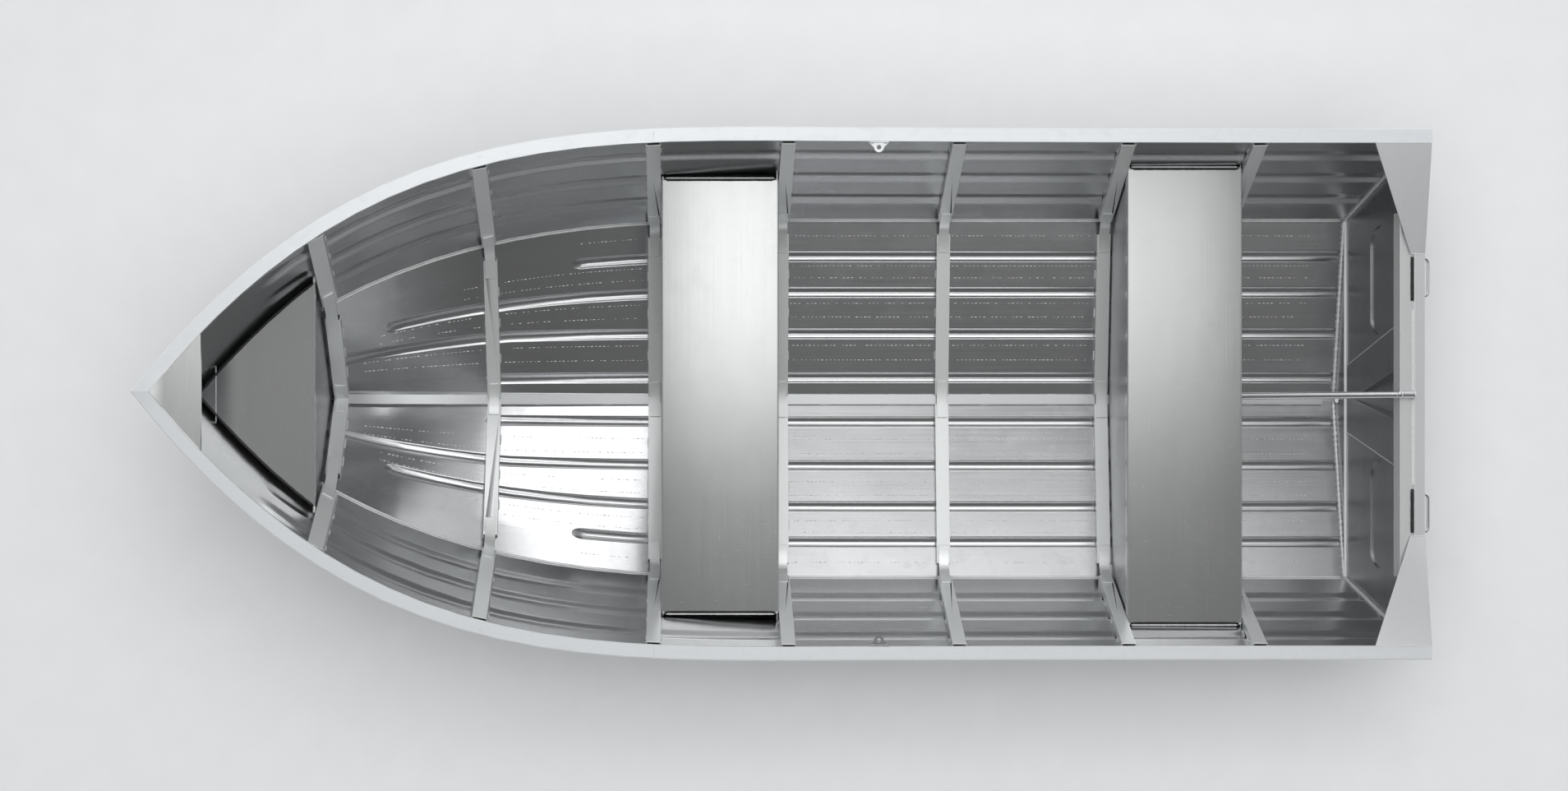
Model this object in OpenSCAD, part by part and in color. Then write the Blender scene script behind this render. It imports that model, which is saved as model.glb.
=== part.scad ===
// Open aluminium boat with a shallow vee bottom, pressed strakes and three seats.
// X runs forward along the centreline, Y to port, Z up. The origin lies on the
// centreline at the waterline, below the middle of the open hull.

/* [Hull] */
// Length from the foot of the transom to the stem head
hull_len = 3506; // [3300:2:3800]
// Beam between the side plates at the sheer
beam = 1500; // [1400:2:1600]
// Beam between the chines
chine_beam = 1082; // [980:2:1200]
// Length over which the sheer swells from the stem to full beam
sheer_run = 1950; // [1750:10:2100]
// Length over which the chine swells from its nose to full beam
chine_run = 1930; // [1730:10:2050]
// Setback of the chine nose behind the stem head
chine_setback = 130; // [110:1:160]
// Fullness of the bow in plan
bow_power = 3.4; // [3:0.1:3.8]
// Height of the sheer at the transom foot above the keel
stern_h = 532; // [500:2:580]
// Height of the stem head above the keel
stem_h = 760; // [700:5:820]
// How late the sheer rises towards the bow
sheer_power = 2.2; // [2:0.1:2.6]
// Length over which the keel line curves up into the stem
forefoot_run = 1200; // [1100:10:1300]
// How upright the stem is
stem_power = 4.5; // [4.2:0.1:4.8]
// Rise of the chine above the keel at the transom
chine_rise = 66; // [50:1:85]
// Length over which the chine rises to the bow
chine_sweep = 2200; // [2000:10:2400]
// How late the chine rises towards the bow
chine_power = 2.4; // [2.2:0.1:2.6]
// Thickness of the hull plates
plate_t = 3; // [2.5:0.1:4]
// Height of the waterline above the keel, empty
waterline = 75; // [60:1:90]
// Distance of the origin from the transom foot
origin_x = 1550; // [1400:10:1700]

/* [Pressings] */
// Distance of the first bottom strake from the centreline
strake_first = 68; // [60:1:74]
// Distance between neighbouring bottom strakes
strake_pitch = 133; // [120:1:136]
// Width of a bottom strake
strake_w = 34; // [28:1:38]
// Depth of a bottom strake
strake_d = 7; // [5:0.5:9]
// How far the strakes draw together where the chine narrows
strake_draw = 0.45; // [0.4:0.05:0.5]
// Length over which a pressing fades out
fade_len = 60; // [40:5:80]
// Width of a side swage
swage_w = 40; // [30:1:48]
// Depth of a side swage
swage_d = 5; // [3:0.5:7]
// Setback of the ends of the side swages behind the stem head
swage_setback = 316; // [300:4:380]

/* [Gunwale, keel and chine extrusions] */
// Width of the gunwale
gunwale_w = 40; // [36:1:44]
// Depth of the gunwale's outer skirt
skirt_h = 33; // [28:1:36]
// Depth of the gunwale's inner lip
lip_h = 14; // [10:1:18]
// Wall of the gunwale
gunwale_t = 3; // [2.5:0.5:3.5]
// Distance of the gunwale's outer face from the side plate
rub_out = 6; // [5.5:0.5:8]
// Width of the keel bar
keel_w = 20; // [16:1:24]
// Depth of the keel bar
keel_h = 22; // [18:1:28]
// Width of a leg of the chine rail
chine_leg = 14; // [12:1:18]
// Thickness of the chine rail
chine_t = 4; // [3:0.5:5]
// Width of the keelson channel
keelson_w = 30; // [26:1:32]
// Height of the keelson channel
keelson_h = 10; // [8:0.5:10]
// Running clearance between welded pieces
fit_gap = 0.3; // [0.2:0.05:0.4]

/* [Frames] */
// Width of a frame channel
frame_w = 40; // [36:1:44]
// Height of a frame channel
frame_h = 25; // [23:1:28]
// Wall of a frame channel
frame_t = 3; // [2.5:0.5:3.5]
// Width of the sleeves over the joints of a frame
sleeve_w = 30; // [26:1:32]
// Height of a sleeve above the frame channel
sleeve_rise = 5; // [4:0.5:7]
// Half length of the sleeve over the keelson
keel_sleeve = 58; // [50:1:64]
// Length of the chine knee along each plate
knee_len = 95; // [85:1:105]
// Distance from the chine to the ends of the frame channels
arm_setback = 42; // [38:1:48]
// Distance of the frame tops below the sheer
frame_drop = 35; // [30:1:42]

/* [Seats] */
// Height of the two benches above the keel
bench_z = 372; // [350:2:390]
// Height of the bow seat above the keel
bow_seat_z = 500; // [480:2:520]
// Distance of the bow seat's aft edge behind the stem head
bow_seat_setback = 465; // [460:1:480]
// Distance of the bow seat's nose behind the stem head
bow_seat_tip = 125; // [120:1:150]
// Sheet of the seats and risers
sheet_t = 3; // [2:0.5:4]
// Depth of the folded edges of a seat
fold_h = 28; // [22:1:34]
// Radius of a fold
fold_r = 5; // [4:0.5:7]
// Gap between the end of a bench and the side plate
bench_gap = 13; // [10:1:18]
// Gap between the bow seat and the side plates
bow_seat_gap = 24; // [20:1:28]

/* [Transom] */
// Rake of the transom
rake = 14; // [12:0.5:16]
// Height of the motor cutout above the keel
cutout_z = 470; // [440:2:480]
// Half width of the motor cutout
cutout_half = 404; // [380:2:420]
// Thickness of the transom plate
transom_t = 4; // [3:0.5:5]
// Thickness of the motor board
board_t = 34; // [30:1:38]
// Depth of the motor board down the transom
board_h = 66; // [56:1:80]
// Width of the inner transom beam
beam_w = 50; // [44:1:56]
// Depth of the inner transom beam
beam_h = 38; // [34:1:44]
// Half length of the inner transom beam
beam_half = 523; // [500:1:540]
// Length of a pressed oval in the transom
oval_len = 330; // [300:5:350]
// Width of a pressed oval in the transom
oval_w = 120; // [100:2:140]
// Outer diameter of the transom stay
stay_d = 20; // [16:1:24]
// Bore of the drain socket
drain_bore = 22; // [18:1:26]

/* [Fittings] */
// Distance of a lifting handle from the end of the motor board
handle_inset = 64; // [60:1:80]
// Length of a lifting handle
handle_len = 118; // [100:1:126]
// Reach of a lifting handle behind the motor board
handle_reach = 36; // [32:1:44]
// Rod of a lifting handle
handle_d = 10; // [8:1:12]
// Distance of the rowlock sockets from the transom foot
rowlock_x = 1432; // [1350:2:1550]
// Bore of a rowlock socket
rowlock_bore = 13; // [10:0.5:16]
// Thickness of a rowlock socket
rowlock_t = 8; // [6:1:10]
// Height of the bow eye above the keel
eye_z = 470; // [420:5:500]
// Inside radius of the bow eye
eye_r = 15; // [12:1:20]
// Rod of the bow eye
eye_rod = 10; // [8:1:12]

/* [Hidden] */
SIDES = ["port", "starboard"];
FRAME_NODES = [for (i = [1:7]) str("frame_", i)];

SHEET = [0.78, 0.79, 0.80];
EXTRUSION = [0.86, 0.87, 0.88];
DARK_SHEET = [0.66, 0.67, 0.69];
round_fn = 48;

// Places of the frames behind the stem head, from the bow aft, as shares of the hull length
frame_shares = [0.14, 0.2695, 0.409, 0.5185, 0.6577, 0.7958, 0.9033];
frame_xs = [for (share = frame_shares) hull_len * (1 - share)];
// Forward ends of the strakes behind the stem head, from the keel out, as such shares
strake_shares = [0.2613, 0.1215, 0.1786, 0.3371];
strake_noses = [for (share = strake_shares) hull_len * (1 - share)];
// Places of the side swages as shares of the height from chine to sheer
swage_shares = [0.26, 0.5, 0.74];

// Forward reach of the transom's rake, and half the slot between the plates at the keel
rake_run = 300;
plan_gap = 3.5;
// Forward ends of the chine, the bottom plates, the chine rails and the side plates
chine_nose = hull_len - chine_setback;
bottom_nose = chine_nose - 15;
rail_nose = chine_nose - 55;
stem_head = hull_len - 15;
// Half the gap of a weld seam
seam = 0.15;
// Setback of the breasthook's aft edge, and station of a corner gusset's forward end
hook_setback = 158;
gusset_x = 104;

function clamp01(v) = min(1, max(0, v));
function dot2(a, b) = a[0] * b[0] + a[1] * b[1];
function unit2(v) = v / norm(v);
function sorted(v) = len(v) < 2 ? v :
    let (p = v[floor(len(v) / 2)])
    concat(sorted([for (e = v) if (e < p - 0.01) e]), [p],
           sorted([for (e = v) if (e > p + 0.01) e]));

// Stations of the plating: wide apart aft, closer together towards the stem
mid = 0.5 * hull_len;
stations = sorted(concat(
    [0, rake_run, 0.3 * hull_len, 0.43 * hull_len, chine_nose, hull_len],
    [for (i = [0:20]) mid + (stem_head - mid) * (1 - pow(1 - i / 20, 1.6))]));

// Lines of the hull: half breadths and heights above the keel, straight between stations
function swell(d, run) = 1 - pow(1 - clamp01(d / run), bow_power);
function keel_curve(x) = stem_h * pow(1 - clamp01((hull_len - x) / forefoot_run), stem_power);
function chine_curve(x) = x >= chine_nose ? keel_curve(x) :
    chine_rise + (keel_curve(chine_nose) - chine_rise)
        * pow(clamp01(1 - (chine_nose - x) / chine_sweep), chine_power);
SHEER_Y = [for (x = stations) [x, beam / 2 * swell(hull_len - x, sheer_run)]];
SHEER_Z = [for (x = stations) [x, stern_h + (stem_h - stern_h) * pow(x / hull_len, sheer_power)]];
CHINE_Y = [for (x = stations) [x, chine_beam / 2 * swell(chine_nose - x, chine_run)]];
CHINE_Z = [for (x = stations) [x, chine_curve(x)]];
KEEL_Z = [for (x = stations) [x, keel_curve(x)]];
function sheer_y(x) = lookup(x, SHEER_Y);
function sheer_z(x) = lookup(x, SHEER_Z);
function chine_y(x) = lookup(x, CHINE_Y);
function chine_z(x) = lookup(x, CHINE_Z);
function keel_z(x) = lookup(x, KEEL_Z);
function between(x0, x1) =
    sorted(concat([x0, x1], [for (x = stations) if (x > x0 + 5 && x < x1 - 5) x]));

// Corners of the section at station x as [y, z], and the plates' directions there
function keel_pt(x) = [0, keel_z(x)];
function chine_pt(x) = [chine_y(x), chine_z(x)];
function sheer_pt(x) = [sheer_y(x), sheer_z(x)];
function bottom_dir(x) = unit2(chine_pt(x) - keel_pt(x));
function side_dir(x) = unit2(sheer_pt(x) - chine_pt(x));
function inward(d) = [-d[1], d[0]];
function miter(x, e) =
    let (a = inward(bottom_dir(x)), b = inward(side_dir(x)))
    (a + b) * e / (1 + dot2(a, b));

// Point on the bottom at half breadth y, lifted by n along the plate's inward side
function bottom_pt(x, y, n) =
    let (d = bottom_dir(x)) keel_pt(x) + d * (y / d[0]) + inward(d) * n;
// Point on the side at distance s above the chine, moved inward by n
function side_pt(x, s, n) = chine_pt(x) + side_dir(x) * s + inward(side_dir(x)) * n;
// Half breadth of the side's face at height z, moved inward by n
function side_y_at(x, z, n) =
    let (d = side_dir(x), q = chine_pt(x) + miter(x, n))
    q[0] + d[0] * (z - q[1]) / d[1];

// Places a section point in space: the stern leans back with the transom
function lean_x(x, z) = x - z * tan(rake) * max(0, 1 - x / rake_run);
function place(x, p) = [lean_x(x, p[1]) - origin_x, p[0], p[1] - waterline];
function mirrored(p) = [p[0], -p[1], p[2]];

// Skin through a list of rings. A ring turns left as seen from its far end, and runs
// out along one face of the wall and back along the other, so its caps are strips.
module loft(rings) {
    n = len(rings[0]);
    far = (len(rings) - 1) * n;
    skin = [for (i = [0:len(rings) - 2], j = [0:n - 1])
        let (k = (j + 1) % n, a = i * n + j, b = i * n + k, c = a + n, d = b + n)
        each [[a, c, d], [a, d, b]]];
    caps = [for (j = [0:n / 2 - 2])
        let (a = j, b = j + 1, c = n - 2 - j, d = n - 1 - j)
        each [[a, b, c], [a, c, d], [far + a, far + c, far + b], [far + a, far + d, far + c]]];
    polyhedron(points = [for (ring = rings) each ring], faces = concat(skin, caps), convexity = 10);
}

module on_side(side) {
    if (side == "port") children();
    else mirror([0, 1, 0]) children();
}

// Depth of a pressing that fades out towards its forward end
function fade(x, nose) = clamp01((nose - x) / fade_len);

// Points across a bottom strake as [y, depth]
function strake_y(i, x) =
    (strake_first + i * strake_pitch)
        * (1 - strake_draw * (1 - chine_y(x) / (chine_beam / 2)));
function strake_rows(i, x) =
    let (room = chine_y(x) - plan_gap,
         y = min(strake_y(i, x), plan_gap + room * (i + 1) / 5),
         w = min(strake_w, room / 7) / 2,
         d = strake_d * fade(x, strake_noses[i]))
    [[y - w, 0], [y - w * 0.5, d], [y + w * 0.5, d], [y + w, 0]];

function bottom_ring(x) =
    let (d = bottom_dir(x),
         rows = concat([[plan_gap, 0]], [for (i = [0:3]) each strake_rows(i, x)]),
         edge = chine_pt(x) - d * seam)
    concat(
        [for (r = rows) place(x, bottom_pt(x, r[0], -r[1]))],
        [place(x, edge), place(x, edge + miter(x, plate_t))],
        [for (k = [len(rows) - 1:-1:0]) place(x, bottom_pt(x, rows[k][0], plate_t - rows[k][1]))]);

bottom_stations = sorted(concat(
    between(0, bottom_nose),
    [for (nose = strake_noses, f = [0, 1]) nose - f * fade_len]));

module bottom_plate(side) {
    color(DARK_SHEET) on_side(side) loft([for (x = bottom_stations) bottom_ring(x)]);
}

// The side plate starts at the chine, and ahead of the chine's nose at the stem
function side_start(x) =
    x < bottom_nose ? [chine_pt(x) + side_dir(x) * seam,
                       chine_pt(x) + miter(x, plate_t) + side_dir(x) * seam] :
    let (d = side_dir(x), s = max(0, (plan_gap - chine_pt(x)[0]) / d[0]))
    [chine_pt(x) + d * s, chine_pt(x) + d * s + inward(d) * plate_t];

function side_rows(x) =
    let (len_s = norm(sheer_pt(x) - chine_pt(x)),
         w = min(swage_w, len_s * 0.12) / 2,
         d = swage_d * fade(x, hull_len - swage_setback))
    [for (share = swage_shares)
        each [[len_s * share - w, 0], [len_s * share - w * 0.5, d],
              [len_s * share + w * 0.5, d], [len_s * share + w, 0]]];

function side_ring(x) =
    let (d = side_dir(x), n = inward(d), rows = side_rows(x), start = side_start(x))
    concat(
        [place(x, start[0])],
        [for (r = rows) place(x, side_pt(x, r[0], -r[1]))],
        [place(x, sheer_pt(x)), place(x, sheer_pt(x) + n * plate_t)],
        [for (k = [len(rows) - 1:-1:0]) place(x, side_pt(x, rows[k][0], plate_t - rows[k][1]))],
        [place(x, start[1])]);

side_stations = sorted(concat(
    between(0, stem_head),
    [hull_len - swage_setback, hull_len - swage_setback - fade_len,
     bottom_nose - 0.1, bottom_nose + 1]));

module side_plate(side) {
    color(SHEET) on_side(side) loft([for (x = side_stations) side_ring(x)]);
}

// Angle outside the chine
function rail_ring(x) =
    let (b = bottom_dir(x), s = side_dir(x), c = chine_pt(x))
    [for (p = [c - b * chine_leg - inward(b) * chine_t,
               c - miter(x, chine_t),
               c + s * chine_leg - inward(s) * chine_t,
               c + s * chine_leg - inward(s) * fit_gap,
               c - miter(x, fit_gap),
               c - b * chine_leg - inward(b) * fit_gap]) place(x, p)];

module chine_rail(side) {
    color(EXTRUSION) on_side(side) loft([for (x = between(0, rail_nose)) rail_ring(x)]);
}

// Keel bar: follows the keel line and turns up the stem
function keel_slope(x) = (keel_z(x + 1) - keel_z(x - 1)) / 2;
keel_end = hull_len
    - forefoot_run * (1 - pow((stem_h - skirt_h - 6) / stem_h, 1 / stem_power));

function keel_ring(x) =
    let (m = keel_slope(x), up = [-m, 1] / norm([m, 1]), half = keel_w / 2,
         q = function (y, n) place(x + up[0] * n, [y, keel_z(x) + up[1] * n]))
    [q(half, -fit_gap), q(-half, -fit_gap), q(-half, -keel_h * 0.7),
     q(-half * 0.6, -keel_h), q(half * 0.6, -keel_h), q(half, -keel_h * 0.7)];

module keel_bar() {
    color(EXTRUSION) loft([for (x = between(0, keel_end)) keel_ring(x)]);
}

// Keelson: an upturned channel over the seam of the bottom plates
function keelson_foot(x) =
    let (d = bottom_dir(x))
    keel_z(x) + (plate_t + fit_gap) / d[0] + keelson_w / 2 * d[1] / d[0];
function keelson_top(x) = keelson_foot(x) + keelson_h;
keelson_wall = 2.5;
keelson_foot_x = 40;
keelson_nose = frame_xs[0] + frame_w / 2;

function keelson_ring(x) =
    let (o = keelson_w / 2, i = o - keelson_wall, z0 = keelson_foot(x), z1 = keelson_top(x))
    [for (p = [[o, z0], [o, z1], [-o, z1], [-o, z0], [-i, z0], [-i, z1 - keelson_wall],
               [i, z1 - keelson_wall], [i, z0]]) place(x, p)];

module keelson() {
    color(EXTRUSION)
        loft([for (x = between(keelson_foot_x, keelson_nose)) keelson_ring(x)]);
}

// Frames: channels on the plates, a sleeve over the keelson and a knee at each chine
frame_section = let (h = frame_w / 2, i = h - frame_t, top = frame_h)
    [[-h, fit_gap], [-h, top], [h, top], [h, fit_gap],
     [i, fit_gap], [i, top - frame_t], [-i, top - frame_t], [-i, fit_gap]];
sleeve_section = let (h = sleeve_w / 2, low = frame_h - frame_t / 2, top = frame_h + sleeve_rise)
    [[-h, low], [-h, top], [h, top], [h, low]];

function on_bottom(x, y, section) =
    [for (q = section) place(x + q[0], bottom_pt(x + q[0], y, plate_t + q[1]))];
function on_centre(x, section) =
    [for (q = section) let (u = x + q[0])
        place(u, [0, keel_z(u) + (plate_t + q[1]) / bottom_dir(u)[0]])];
function on_side_line(x, s, section) =
    [for (q = section) place(x + q[0], side_pt(x + q[0], s, plate_t + q[1]))];
function mirror_ring(ring) = [for (p = ring) mirrored(p)];
// How far a knee runs on past the end of a channel before it bends
knee_bend = 3;

module frame(x) {
    side_top = norm(sheer_pt(x) - chine_pt(x)) - frame_drop;
    arm_in = keelson_w / 2 + 2;
    arm_out = chine_y(x) - arm_setback * bottom_dir(x)[0];
    knee_in = chine_y(x) - knee_len * bottom_dir(x)[0];
    color(EXTRUSION) union() {
        for (side = SIDES) on_side(side) {
            loft([on_bottom(x, arm_in, frame_section), on_bottom(x, arm_out, frame_section)]);
            loft([on_side_line(x, arm_setback, frame_section),
                  on_side_line(x, side_top, frame_section)]);
            loft([on_bottom(x, knee_in, sleeve_section),
                  on_bottom(x, arm_out + knee_bend, sleeve_section),
                  on_side_line(x, arm_setback - knee_bend, sleeve_section),
                  on_side_line(x, knee_len, sleeve_section)]);
        }
        loft([mirror_ring(on_bottom(x, keel_sleeve, sleeve_section)),
              on_centre(x, sleeve_section),
              on_bottom(x, keel_sleeve, sleeve_section)]);
    }
}

// Gunwale: a capping channel that hugs the top of the side plate
gunwale_section = let (o = rub_out, t = gunwale_t, i = rub_out - gunwale_w, top = gunwale_t + fit_gap)
    [[o, -skirt_h], [o, top - 3], [o - 1, top - 1], [o - 3, top], [i, top], [i, -lip_h],
     [i + t, -lip_h], [i + t, fit_gap], [o - t - 2, fit_gap], [o - t - 1, fit_gap - 0.6],
     [o - t, fit_gap - 2], [o - t, -skirt_h]];

function sheer_normal(x) =
    let (slope = (sheer_y(x + 1) - sheer_y(x - 1)) / 2) [-slope, 1] / norm([slope, 1]);
function gunwale_pt(x, a, b) =
    let (n = sheer_normal(x))
    place(x + n[0] * a, [sheer_y(x) + n[1] * a, sheer_z(x) + b]);
// The stem end is cut along the centreline, so the two gunwales meet in a mitre
function gunwale_stem_pt(a, b, y) =
    let (n = sheer_normal(hull_len - 2), run = (y - a * n[1]) / n[0])
    place(hull_len + n[0] * a - n[1] * run, [y, stem_h + b]);

gunwale_stations = sorted(concat(
    between(-2 * transom_t, hull_len - 45), [gusset_x, hull_len - hook_setback]));
// The aft and bow lengths of a gunwale are spliced over a frame
splice_x = frame_xs[2];
function gunwale_ring(x) = [for (q = gunwale_section) gunwale_pt(x, q[0], q[1])];

module gunwale_aft(side) {
    color(EXTRUSION) on_side(side) loft(concat(
        [for (x = gunwale_stations) if (x < splice_x) gunwale_ring(x)],
        [gunwale_ring(splice_x - seam)]));
}
module gunwale_bow(side) {
    color(EXTRUSION) on_side(side) loft(concat(
        [gunwale_ring(splice_x + seam)],
        [for (x = gunwale_stations) if (x > splice_x) gunwale_ring(x)],
        [[for (q = gunwale_section) gunwale_stem_pt(q[0], q[1], seam)]]));
}

// Breasthook: the plate that ties the gunwales together at the stem
hook_edge = rub_out - gunwale_w - fit_gap;
hook_top = gunwale_t + fit_gap;
function hook_ring(p) =
    [[p[0], p[1], p[2] - sheet_t], p, mirrored(p), [p[0], -p[1], p[2] - sheet_t]];

module breasthook() {
    aft = gunwale_pt(hull_len - hook_setback, hook_edge, hook_top);
    color(SHEET) union() {
        loft(concat(
            [for (x = between(hull_len - hook_setback, hull_len - 45))
                hook_ring(gunwale_pt(x, hook_edge, hook_top))],
            [hook_ring(gunwale_stem_pt(hook_edge, hook_top, 1.5))]));
        translate([aft[0], -aft[1] + 1, aft[2] - lip_h])
            cube([sheet_t, 2 * aft[1] - 2, lip_h - sheet_t / 2]);
    }
}

// Inside outline of the hull at station x up to height top, clear of the keelson
function inside_half(x, clear, top) =
    let (d = bottom_dir(x), y = keelson_w / 2 + 1, e = plate_t + clear)
    [[y, keelson_top(x) + 1], [y, keel_z(x) + e / d[0] + y * d[1] / d[0]],
     chine_pt(x) + miter(x, e), [side_y_at(x, top, e), top]];
function full_outline(half) =
    concat(half, [for (i = [len(half) - 1:-1:0]) if (half[i][0] > 0) [-half[i][0], half[i][1]]]);

module cross_sheet(x, clear, top) {
    translate([x - origin_x, 0, -waterline])
        rotate([90, 0, 90]) linear_extrude(sheet_t)
            polygon(full_outline(inside_half(x, clear, top)));
}

// A folded channel, open below, with round folds
module fold_profile(w, h, r) {
    translate([-w / 2, -h]) square([w, h - r]);
    translate([-w / 2 + r, -h]) square([w - 2 * r, h]);
    for (s = [-1, 1]) translate([s * (w / 2 - r), -r]) circle(r, $fn = round_fn);
}

module bench(x0, x1) {
    w = x1 - x0;
    half = min(side_y_at(x0, bench_z, plate_t), side_y_at(x1, bench_z, plate_t)) - bench_gap;
    translate([(x0 + x1) / 2 - origin_x, half, bench_z - waterline])
        rotate([90, 0, 0]) linear_extrude(2 * half) difference() {
            fold_profile(w, fold_h, fold_r);
            translate([0, -sheet_t]) fold_profile(w - 2 * sheet_t, fold_h, fold_r - sheet_t);
        }
}

module bench_risers(x0, x1) {
    top = bench_z - sheet_t - fit_gap;
    for (x = [x0 + sheet_t + fit_gap, x1 - 2 * sheet_t - fit_gap]) cross_sheet(x, 1, top);
}

bench_ends = [for (pair = [[3, 2], [6, 5]])
    [frame_xs[pair[0]] + frame_w / 2 + 1, frame_xs[pair[1]] - frame_w / 2 - 1]];

module fore_bench() { color(SHEET) bench(bench_ends[0][0], bench_ends[0][1]); }
module fore_bench_risers() { color(DARK_SHEET) bench_risers(bench_ends[0][0], bench_ends[0][1]); }
module aft_bench() { color(SHEET) bench(bench_ends[1][0], bench_ends[1][1]); }
module aft_bench_risers() { color(DARK_SHEET) bench_risers(bench_ends[1][0], bench_ends[1][1]); }

// Bow seat: a plate that follows both sides at an even gap
bow_seat_x = hull_len - bow_seat_setback;
function bow_seat_y(x) = side_y_at(x, bow_seat_z, plate_t) - bow_seat_gap;
bow_seat_nose = hull_len - bow_seat_tip;
bow_seat_rim = [for (f = [0:0.1:1])
    let (x = bow_seat_x + (bow_seat_nose - bow_seat_x) * f) [x - origin_x, max(6, bow_seat_y(x))]];

module bow_seat() {
    color(SHEET) {
        translate([0, 0, bow_seat_z - waterline - sheet_t]) linear_extrude(sheet_t)
            polygon(concat(bow_seat_rim, [for (i = [len(bow_seat_rim) - 1:-1:0])
                [bow_seat_rim[i][0], -bow_seat_rim[i][1]]]));
        translate([bow_seat_x - origin_x, -bow_seat_y(bow_seat_x), bow_seat_z - waterline - fold_h])
            cube([sheet_t, 2 * bow_seat_y(bow_seat_x), fold_h - sheet_t / 2]);
    }
}

module bow_seat_riser() {
    color(DARK_SHEET)
        cross_sheet(bow_seat_x + sheet_t + fit_gap, 1.5, bow_seat_z - sheet_t - fit_gap);
}

// Works in the plane of the transom: x stands off it forward, y across, z up its slope
module on_transom() {
    translate([-origin_x, 0, -waterline]) rotate([0, -rake, 0]) children();
}
module across(x, depth) {
    translate([x, 0, 0]) rotate([90, 0, 90]) linear_extrude(depth) children();
}
function up_slope(z) = z / cos(rake);

cutout_v = up_slope(cutout_z);
transom_top = up_slope(stern_h - lip_h - 1);
lip_y = beam / 2 + rub_out - gunwale_w - 1;
transom_half = [
    [0, 0], [chine_beam / 2, up_slope(chine_rise)], [beam / 2 - lip_h * 0.45, transom_top],
    [lip_y, transom_top], [lip_y, up_slope(stern_h) - 3], [cutout_half + 2, cutout_v]];
oval_y = cutout_half - 60;
oval_v = up_slope(270);
oval_press = 5;
drain_z = 30;
drain_tube = drain_bore / 2 + 3;
drain_flange = drain_bore / 2 + 10;

module oval(shrink) {
    straight = oval_len - oval_w;
    for (s = [-1, 1]) translate([s * oval_y, oval_v]) {
        square([straight, oval_w - 2 * shrink], center = true);
        for (e = [-1, 1]) translate([e * straight / 2, 0])
            circle(oval_w / 2 - shrink, $fn = round_fn);
    }
}

module transom_plate() {
    back = -fit_gap - transom_t;
    color(DARK_SHEET) on_transom() difference() {
        union() {
            across(back, transom_t) polygon(full_outline(transom_half));
            across(back - oval_press, oval_press) oval(0);
        }
        across(back - oval_press + transom_t, oval_press + 1) oval(transom_t);
        across(back - 1, transom_t + 2) translate([0, up_slope(drain_z)])
            circle(drain_tube + fit_gap, $fn = round_fn);
    }
}

// Threaded drain socket through the foot of the transom
module drain_socket() {
    color(EXTRUSION) on_transom() translate([-transom_t - 2 * fit_gap - 3, 0, up_slope(drain_z)])
        rotate([0, 90, 0]) difference() {
            union() {
                cylinder(r = drain_flange, h = 3, $fn = round_fn);
                cylinder(r = drain_tube, h = transom_t + 10, $fn = round_fn);
            }
            translate([0, 0, -1]) cylinder(d = drain_bore, h = transom_t + 12, $fn = round_fn);
        }
}

// Inner doubler that spreads the motor's load down the transom
doubler_t = 3;
doubler_top = cutout_v - beam_h - 8;
doubler_low = up_slope(chine_rise + 20);
doubler_half_top = cutout_half * 0.56;
doubler_half_low = cutout_half * 0.25;
module transom_doubler() {
    color(SHEET) on_transom() across(fit_gap, doubler_t)
        polygon([[-doubler_half_low, doubler_low], [doubler_half_low, doubler_low],
                 [doubler_half_top, doubler_top], [-doubler_half_top, doubler_top]]);
}

module transom_beam() {
    color(EXTRUSION) on_transom()
        translate([fit_gap, -beam_half, cutout_v - beam_h]) difference() {
            cube([beam_w, 2 * beam_half, beam_h]);
            translate([sheet_t, -1, sheet_t])
                cube([beam_w - 2 * sheet_t, 2 * beam_half + 2, beam_h - 2 * sheet_t]);
        }
}

// Motor board: a pad behind the transom with a cap folded over its top edge
cap_t = 8;
cap_front = 9;
board_back = cap_front - board_t;
module motor_board() {
    color(EXTRUSION) on_transom() difference() {
        translate([board_back, -cutout_half, cutout_v - board_h])
            cube([board_t, 2 * cutout_half, board_h + cap_t]);
        translate([-transom_t - 2 * fit_gap, -cutout_half - 1, cutout_v - board_h - 1])
            cube([board_t, 2 * cutout_half + 2, board_h + 1 + fit_gap]);
    }
}

// Triangular knees that stand on the doubler and spread up to the beam
knee_t = 4;
knee_low = [6, up_slope(cutout_z * 0.3)];
knee_high = [70, cutout_v - beam_h - 2];
module transom_knee(side) {
    run = knee_high - knee_low;
    length = norm(run);
    color(SHEET) on_side(side) on_transom()
        translate([doubler_t + 2 * fit_gap, knee_low[0], knee_low[1]])
            rotate([-atan2(run[0], run[1]), 0, 0]) rotate([90, 0, 0])
                linear_extrude(knee_t, center = true)
                    polygon([[0, 0], [6, 0], [beam_w - 6, length - 12], [beam_w - 6, length], [0, length]]);
}

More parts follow.
